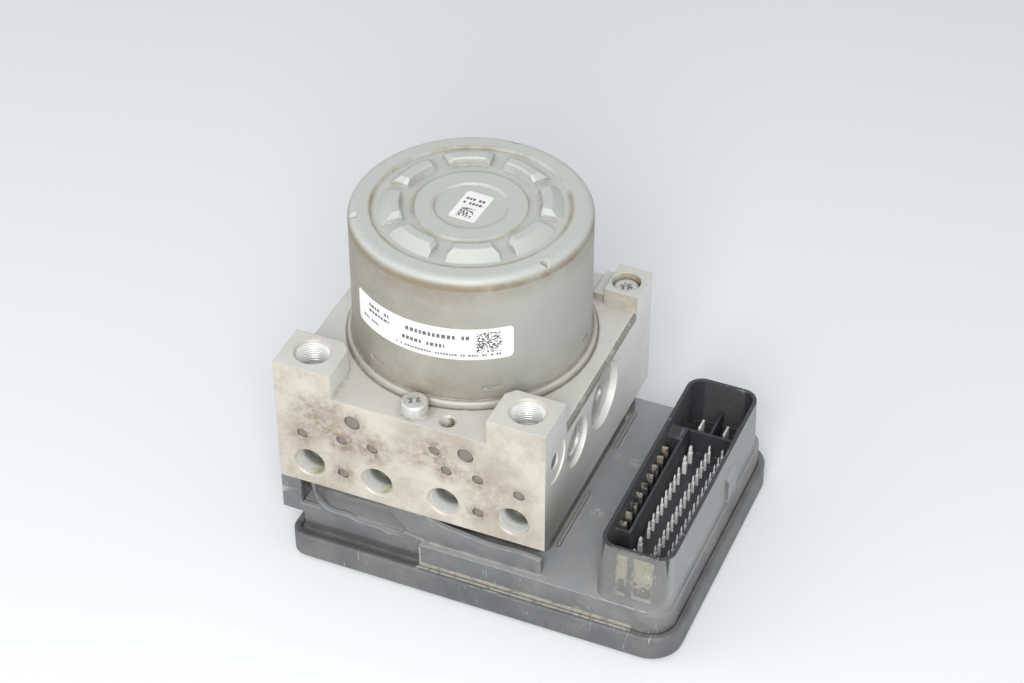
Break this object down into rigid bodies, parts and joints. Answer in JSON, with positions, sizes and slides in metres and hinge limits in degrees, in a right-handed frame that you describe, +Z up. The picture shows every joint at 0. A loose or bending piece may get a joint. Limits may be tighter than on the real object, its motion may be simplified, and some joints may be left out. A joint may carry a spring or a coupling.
{
  "type": "abs brake module",
  "caption": "Anti-lock brake hydraulic unit: ported aluminium valve block with a pump motor on top, a plastic control unit under it and an upright connector shroud beside it.",
  "frame": {"origin": "middle of the footprint, on the surface the cover stands on", "axes": "+X from the valve block towards the connector, +Y away from the pipe ports, +Z up through the motor"},
  "size_m": [0.149, 0.1084, 0.1285],
  "materials": {
    "block_aluminium": "machined, stained",
    "plug_steel": "dull, oxidised",
    "zinc_steel": "dull zinc plating",
    "cap_metal": "turned, dull",
    "housing_plastic": "glass-filled moulding, dusty",
    "cover_plastic": "glass-filled moulding, dusty",
    "pin_metal": "tin plated",
    "screw_steel": "zinc plated, dull",
    "ferrite": "sintered",
    "bearing_bronze": "sintered bronze",
    "ground_steel": "ground",
    "lamination_steel": "stacked sheet",
    "copper": "enamelled copper",
    "carbon": "pressed carbon",
    "holder_plastic": "moulded",
    "spring_steel": "drawn wire",
    "piston_aluminium": "turned",
    "seal_rubber": "moulded",
    "circuit_green": "lacquered laminate",
    "valve_steel": "turned",
    "coil_plastic": "overmoulded"
  },
  "bodies": {
    "root": {"valve_block": "block_aluminium", "passage_plugs": "plug_steel", "motor_can": "zinc_steel", "pump_cap_left": "cap_metal", "pump_cap_right": "cap_metal", "accumulator_cap_left": "cap_metal", "accumulator_cap_right": "cap_metal", "ecu_housing": "housing_plastic", "ecu_cover": "cover_plastic", "signal_pins": "pin_metal", "power_blades": "pin_metal", "motor_contact_left": "pin_metal", "motor_contact_right": "pin_metal", "control_unit_screws": "screw_steel", "magnet_1": "ferrite", "magnet_2": "ferrite", "magnet_3": "ferrite", "magnet_4": "ferrite", "upper_bushing": "bearing_bronze", "shaft_bearing": "ground_steel", "pump_sleeve_left": "ground_steel", "pump_sleeve_right": "ground_steel", "brush_left": "carbon", "brush_right": "carbon", "brush_holder": "holder_plastic", "pump_spring_left": "spring_steel", "pump_spring_right": "spring_steel", "accumulator_spring_left": "spring_steel", "accumulator_spring_right": "spring_steel", "cover_seal": "seal_rubber", "block_seal": "seal_rubber", "circuit_board": "circuit_green", "inlet_valve_1": "valve_steel", "inlet_valve_2": "valve_steel", "inlet_valve_3": "valve_steel", "inlet_valve_4": "valve_steel", "outlet_valve_1": "valve_steel", "outlet_valve_2": "valve_steel", "outlet_valve_3": "valve_steel", "outlet_valve_4": "valve_steel", "inlet_coil_1": "coil_plastic", "inlet_coil_2": "coil_plastic", "inlet_coil_3": "coil_plastic", "inlet_coil_4": "coil_plastic", "outlet_coil_1": "coil_plastic", "outlet_coil_2": "coil_plastic", "outlet_coil_3": "coil_plastic", "outlet_coil_4": "coil_plastic"},
    "rotor": {"motor_shaft": "ground_steel", "armature_core": "lamination_steel", "armature_winding": "copper", "commutator": "copper"},
    "eccentric_ring": {"eccentric_ring": "ground_steel"},
    "pump_piston_left": {"pump_piston_left": "ground_steel"},
    "pump_piston_right": {"pump_piston_right": "ground_steel"},
    "accumulator_piston_left": {"accumulator_piston_left": "piston_aluminium", "accumulator_seal_left": "seal_rubber"},
    "accumulator_piston_right": {"accumulator_piston_right": "piston_aluminium", "accumulator_seal_right": "seal_rubber"}
  },
  "joints": [
    {"name": "motor_turn", "type": "hinge", "parent": "root", "child": "rotor", "pos_m": [-0.0245, 0.00625, 0.0915], "axis": [0, 0, 1], "continuous": true},
    {"name": "eccentric_ring_turn", "type": "hinge", "parent": "rotor", "child": "eccentric_ring", "pos_m": [-0.0245, 0.00745, 0.0585], "axis": [0, 0, 1], "continuous": true},
    {"name": "pump_stroke_left", "type": "slide", "parent": "root", "child": "pump_piston_left", "axis": [1, 0, 0], "range_m": [0, 0.0024], "deforming": ["pump_spring_left"]},
    {"name": "pump_stroke_right", "type": "slide", "parent": "root", "child": "pump_piston_right", "axis": [-1, 0, 0], "range_m": [0, 0.0024], "deforming": ["pump_spring_right"]},
    {"name": "accumulator_stroke_left", "type": "slide", "parent": "root", "child": "accumulator_piston_left", "axis": [-1, 0, 0], "range_m": [0, 0.008], "stiffness_N_per_m": 400, "deforming": ["accumulator_spring_left"]},
    {"name": "accumulator_stroke_right", "type": "slide", "parent": "root", "child": "accumulator_piston_right", "axis": [1, 0, 0], "range_m": [0, 0.008], "stiffness_N_per_m": 400, "deforming": ["accumulator_spring_right"]}
  ],
  "couplings": [
    {"joint": "eccentric_ring_turn", "follows": "motor_turn", "ratio": -1}
  ]
}
